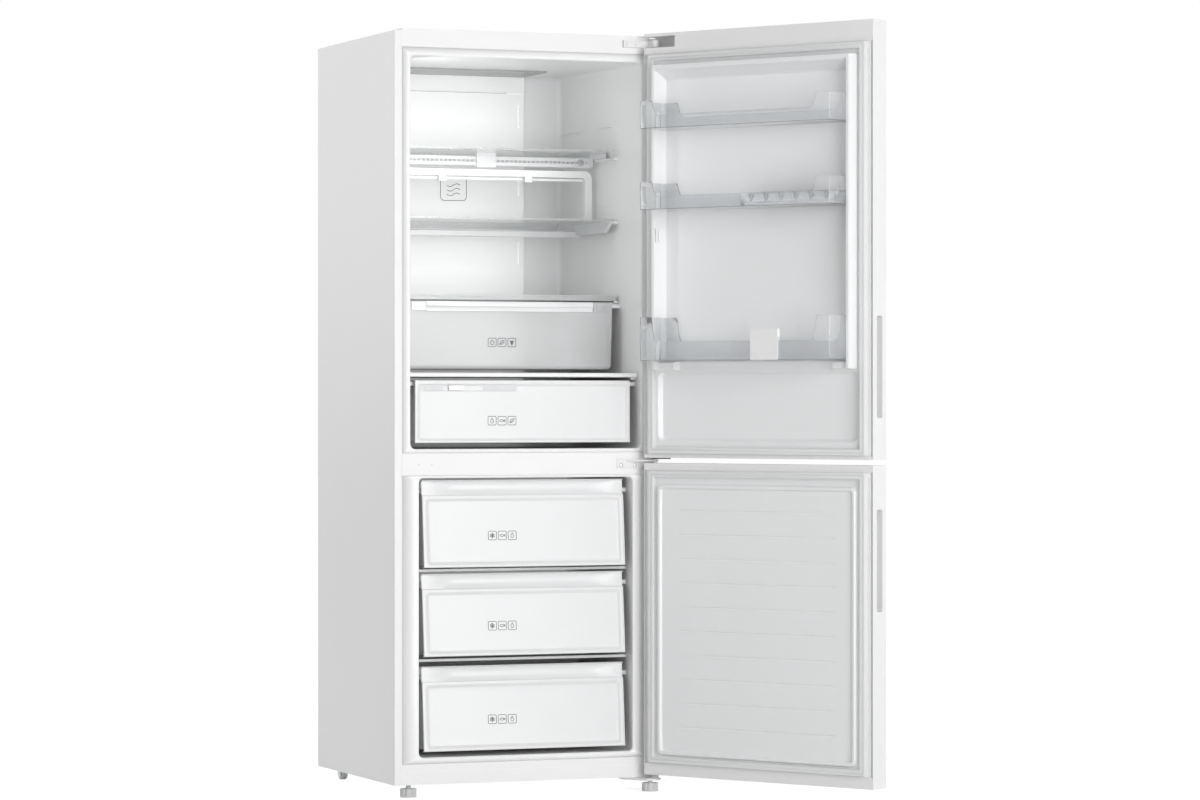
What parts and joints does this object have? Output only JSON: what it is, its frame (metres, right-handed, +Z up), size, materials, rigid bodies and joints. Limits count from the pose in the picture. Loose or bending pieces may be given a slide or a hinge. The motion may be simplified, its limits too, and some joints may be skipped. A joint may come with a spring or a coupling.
{
  "type": "bottom freezer refrigerator",
  "caption": "Tall white bottom freezer refrigerator with both doors open, glass shelves, clear door bins, crisper, chiller and freezer drawers",
  "frame": {"origin": "on the floor under the middle of the closed cabinet's plan", "axes": "+Z up, -Y out of the cabinet's front, +X towards the hinge side"},
  "size_m": [1.0503, 1.2429, 1.905],
  "materials": {
    "white_steel": "smooth white paint",
    "door_steel": "smooth white paint",
    "zinc_steel": "zinc coated sheet",
    "hinge_steel": "white painted pressing",
    "liner_plastic": "vacuum-formed, half gloss",
    "duct_plastic": "moulded, matt",
    "white_plastic": "moulded, half gloss",
    "fitting_plastic": "moulded white",
    "foam": "rigid polyurethane foam",
    "gasket": "soft vinyl, matt",
    "shelf_glass": "toughened plate, polished",
    "clear_plastic": "clear polystyrene",
    "frosted_plastic": "milky clear polystyrene",
    "lamp_lens": "opal",
    "compressor_paint": "black baked paint",
    "evaporator_metal": "bare, mill finish",
    "dark_plastic": "moulded, matt",
    "foot_plastic": "moulded grey"
  },
  "bodies": {
    "cabinet": {"left_side_panel": "white_steel", "right_side_panel": "white_steel", "middle_rail": "white_steel", "base_rail": "white_steel", "bottom_hinge": "white_steel", "back_panel": "zinc_steel", "base_pan": "zinc_steel", "rear_cover": "zinc_steel", "top_hinge": "hinge_steel", "middle_hinge": "hinge_steel", "fridge_liner": "liner_plastic", "freezer_liner": "liner_plastic", "wall_supports": "liner_plastic", "air_duct": "duct_plastic", "evaporator_cover": "duct_plastic", "top_cover": "white_plastic", "chiller_lid": "fitting_plastic", "cabinet_foam": "foam", "crisper_lid": "shelf_glass", "freezer_glass_shelves": "shelf_glass", "ceiling_lamp": "lamp_lens", "compressor": "compressor_paint", "condenser_loop": "compressor_paint", "evaporator": "evaporator_metal", "drip_tray": "dark_plastic", "cord_gland": "dark_plastic"},
    "fridge_door": {"fridge_door_skin": "door_steel", "fridge_door_caps": "white_plastic", "fridge_door_foam": "foam", "fridge_door_liner": "liner_plastic", "fridge_door_gasket": "gasket", "fridge_door_grip": "white_plastic"},
    "freezer_door": {"freezer_door_skin": "door_steel", "freezer_door_caps": "white_plastic", "freezer_door_foam": "foam", "freezer_door_liner": "liner_plastic", "freezer_door_gasket": "gasket", "freezer_door_grip": "white_plastic"},
    "top_bin": {"top_bin": "clear_plastic"},
    "middle_bin": {"middle_bin": "clear_plastic"},
    "bottom_bin": {"bottom_bin": "clear_plastic"},
    "egg_tray": {"egg_tray": "fitting_plastic"},
    "bottle_stop": {"bottle_stop": "fitting_plastic"},
    "upper_shelf": {"upper_shelf": "shelf_glass", "upper_shelf_frame": "clear_plastic"},
    "middle_shelf": {"middle_shelf": "shelf_glass", "middle_shelf_frame": "clear_plastic", "rack_frame": "fitting_plastic"},
    "crisper": {"crisper_drawer": "clear_plastic", "crisper_handle": "fitting_plastic"},
    "chiller": {"chiller_drawer": "clear_plastic"},
    "chiller_slider": {"chiller_slider": "fitting_plastic"},
    "top_freezer_drawer": {"top_freezer_drawer": "frosted_plastic"},
    "middle_freezer_drawer": {"middle_freezer_drawer": "frosted_plastic"},
    "bottom_freezer_drawer": {"bottom_freezer_drawer": "frosted_plastic"},
    "freezer_fan": {"freezer_fan": "dark_plastic"},
    "left_roller": {"left_roller": "foot_plastic"},
    "right_roller": {"right_roller": "foot_plastic"},
    "left_foot": {"left_foot": "foot_plastic"},
    "right_foot": {"right_foot": "foot_plastic"}
  },
  "joints": [
    {"name": "fridge_door_hinge", "type": "hinge", "parent": "cabinet", "child": "fridge_door", "pos_m": [0.332, -0.338, 1.37], "axis": [0, 0, 1], "range_deg": [-120, 0]},
    {"name": "freezer_door_hinge", "type": "hinge", "parent": "cabinet", "child": "freezer_door", "pos_m": [0.332, -0.338, 0.433], "axis": [0, 0, 1], "range_deg": [-120, 0]},
    {"name": "top_bin_lift", "type": "slide", "parent": "fridge_door", "child": "top_bin", "axis": [0, 0, 1], "range_m": [0, 0.03]},
    {"name": "middle_bin_lift", "type": "slide", "parent": "fridge_door", "child": "middle_bin", "axis": [0, 0, 1], "range_m": [0, 0.03]},
    {"name": "bottom_bin_lift", "type": "slide", "parent": "fridge_door", "child": "bottom_bin", "axis": [0, 0, 1], "range_m": [0, 0.03]},
    {"name": "egg_tray_lift", "type": "slide", "parent": "middle_bin", "child": "egg_tray", "axis": [0, 0, 1], "range_m": [0, 0.05]},
    {"name": "bottle_stop_slide", "type": "slide", "parent": "bottom_bin", "child": "bottle_stop", "axis": [-0.5, 0.866, 0], "range_m": [-0.088, 0.28]},
    {"name": "upper_shelf_slide", "type": "slide", "parent": "cabinet", "child": "upper_shelf", "axis": [0, -1, 0], "range_m": [0, 0.2]},
    {"name": "middle_shelf_slide", "type": "slide", "parent": "cabinet", "child": "middle_shelf", "axis": [0, -1, 0], "range_m": [0, 0.2]},
    {"name": "crisper_slide", "type": "slide", "parent": "cabinet", "child": "crisper", "axis": [0, -1, 0], "range_m": [0, 0.19]},
    {"name": "chiller_slide", "type": "slide", "parent": "cabinet", "child": "chiller", "axis": [0, -1, 0], "range_m": [0, 0.35]},
    {"name": "chiller_slider_slide", "type": "slide", "parent": "chiller", "child": "chiller_slider", "axis": [1, 0, 0], "range_m": [0, 0.08]},
    {"name": "top_freezer_drawer_slide", "type": "slide", "parent": "cabinet", "child": "top_freezer_drawer", "axis": [0, -1, 0], "range_m": [0, 0.32]},
    {"name": "middle_freezer_drawer_slide", "type": "slide", "parent": "cabinet", "child": "middle_freezer_drawer", "axis": [0, -1, 0], "range_m": [0, 0.32]},
    {"name": "bottom_freezer_drawer_slide", "type": "slide", "parent": "cabinet", "child": "bottom_freezer_drawer", "axis": [0, -1, 0], "range_m": [0, 0.27]},
    {"name": "freezer_fan_spin", "type": "hinge", "parent": "cabinet", "child": "freezer_fan", "pos_m": [0, 0.168, 0.7], "axis": [0, 1, 0], "continuous": true},
    {"name": "left_roller_spin", "type": "hinge", "parent": "cabinet", "child": "left_roller", "pos_m": [-0.3, 0.25, 0.015], "axis": [1, 0, 0], "continuous": true},
    {"name": "right_roller_spin", "type": "hinge", "parent": "cabinet", "child": "right_roller", "pos_m": [0.3, 0.25, 0.015], "axis": [1, 0, 0], "continuous": true},
    {"name": "left_foot_turn", "type": "hinge", "parent": "cabinet", "child": "left_foot", "pos_m": [-0.304, -0.2734, 0.01], "axis": [0, 0, 1], "continuous": true},
    {"name": "right_foot_turn", "type": "hinge", "parent": "cabinet", "child": "right_foot", "pos_m": [0.3138, -0.3483, 0.01], "axis": [0, 0, 1], "continuous": true}
  ]
}
